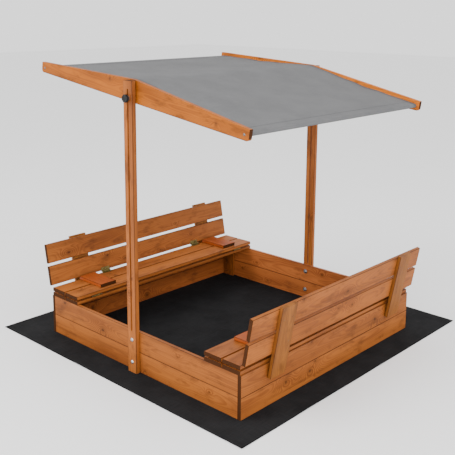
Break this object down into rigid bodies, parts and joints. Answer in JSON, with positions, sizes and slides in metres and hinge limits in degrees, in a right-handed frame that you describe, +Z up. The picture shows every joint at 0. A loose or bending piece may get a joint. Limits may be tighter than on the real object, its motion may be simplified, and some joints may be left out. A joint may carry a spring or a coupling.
{
  "type": "sandbox with cover",
  "caption": "Square wooden sandbox whose hinged cover folds open into two benches with backrests, under a tilting fabric roof on slotted posts.",
  "frame": {"origin": "middle of the wooden box's footprint, on the ground under the ground sheet", "axes": "+X from the left bench to the right bench, +Y from the front post to the rear post, +Z up"},
  "size_m": [1.49, 1.53, 1.239],
  "materials": {
    "wood": "satin",
    "cross_wood": "satin",
    "pale_wood": "satin",
    "ground_cloth": "matt",
    "canopy_cloth": "matt",
    "zinc_steel": "satin",
    "hinge_brass": "satin",
    "hinge_pin_steel": "satin",
    "screw_brass": "satin",
    "knob_plastic": "gloss"
  },
  "bodies": {
    "sandbox": {"ground_sheet": "ground_cloth", "left_wall_lower": "wood", "left_wall_upper": "wood", "right_wall_lower": "wood", "right_wall_upper": "wood", "front_wall_lower": "wood", "front_wall_upper": "wood", "rear_wall_lower": "wood", "rear_wall_upper": "wood", "corner_front_left": "wood", "corner_front_right": "wood", "corner_rear_left": "wood", "corner_rear_right": "wood", "front_post": "wood", "rear_post": "wood", "post_bolts": "zinc_steel", "post_washers": "zinc_steel", "post_nuts": "zinc_steel", "frame_screws": "screw_brass", "left_fixed_outer": "wood", "left_fixed_inner": "wood", "right_fixed_outer": "wood", "right_fixed_inner": "wood", "seat_hinge_fixed_leaves": "hinge_brass", "seat_hinge_pins": "hinge_pin_steel"},
    "left_seat": {"left_seat_outer": "wood", "left_seat_inner": "wood", "left_seat_battens": "cross_wood", "left_seat_screws": "screw_brass", "left_seat_hinge_leaves": "hinge_brass", "left_back_hinge_seat_leaves": "hinge_brass", "left_back_hinge_pins": "hinge_pin_steel"},
    "right_seat": {"right_seat_outer": "wood", "right_seat_inner": "wood", "right_seat_battens": "cross_wood", "right_seat_screws": "screw_brass", "right_seat_hinge_leaves": "hinge_brass", "right_back_hinge_seat_leaves": "hinge_brass", "right_back_hinge_pins": "hinge_pin_steel"},
    "left_back": {"left_back_lower": "wood", "left_back_upper": "wood", "left_cleats": "cross_wood", "left_cleat_screws": "screw_brass", "left_back_hinge_leaves": "hinge_brass"},
    "right_back": {"right_back_lower": "wood", "right_back_upper": "wood", "right_cleats": "cross_wood", "right_cleat_screws": "screw_brass", "right_back_hinge_leaves": "hinge_brass"},
    "carriage": {"clamp_bolts": "zinc_steel", "clamp_washers": "zinc_steel"},
    "roof": {"front_rail": "wood", "rear_rail": "wood", "left_rod": "pale_wood", "right_rod": "pale_wood", "ridge_bar": "pale_wood", "canopy": "canopy_cloth", "rail_screws": "zinc_steel"},
    "front_knob_body": {"front_knob": "knob_plastic"},
    "rear_knob_body": {"rear_knob": "knob_plastic"}
  },
  "joints": [
    {"name": "roof_height", "type": "slide", "parent": "sandbox", "child": "carriage", "axis": [0, 0, 1], "range_m": [-0.572, 0.032]},
    {"name": "roof_tilt", "type": "hinge", "parent": "carriage", "child": "roof", "pos_m": [0, 0, 1.132], "axis": [0, 1, 0], "range_deg": [-37.8, 22.2]},
    {"name": "front_knob_turn", "type": "hinge", "parent": "carriage", "child": "front_knob_body", "pos_m": [0, -0.61, 1.132], "axis": [0, -1, 0], "continuous": true},
    {"name": "rear_knob_turn", "type": "hinge", "parent": "carriage", "child": "rear_knob_body", "pos_m": [0, 0.61, 1.132], "axis": [0, 1, 0], "continuous": true},
    {"name": "left_seat_flip", "type": "hinge", "parent": "sandbox", "child": "left_seat", "pos_m": [-0.3915, 0, 0.196], "axis": [0, 1, 0], "range_deg": [0, 180]},
    {"name": "left_back_fold", "type": "hinge", "parent": "left_seat", "child": "left_back", "pos_m": [-0.579, 0, 0.2175], "axis": [0, 1, 0], "range_deg": [-79.5, 0]},
    {"name": "right_seat_flip", "type": "hinge", "parent": "sandbox", "child": "right_seat", "pos_m": [0.3915, 0, 0.196], "axis": [0, -1, 0], "range_deg": [0, 180]},
    {"name": "right_back_fold", "type": "hinge", "parent": "right_seat", "child": "right_back", "pos_m": [0.579, 0, 0.2175], "axis": [0, -1, 0], "range_deg": [-79.5, 0]}
  ],
  "couplings": [
    {"joint": "left_back_fold", "follows": "left_seat_flip", "ratio": -0.44111},
    {"joint": "right_back_fold", "follows": "right_seat_flip", "ratio": -0.44111}
  ]
}
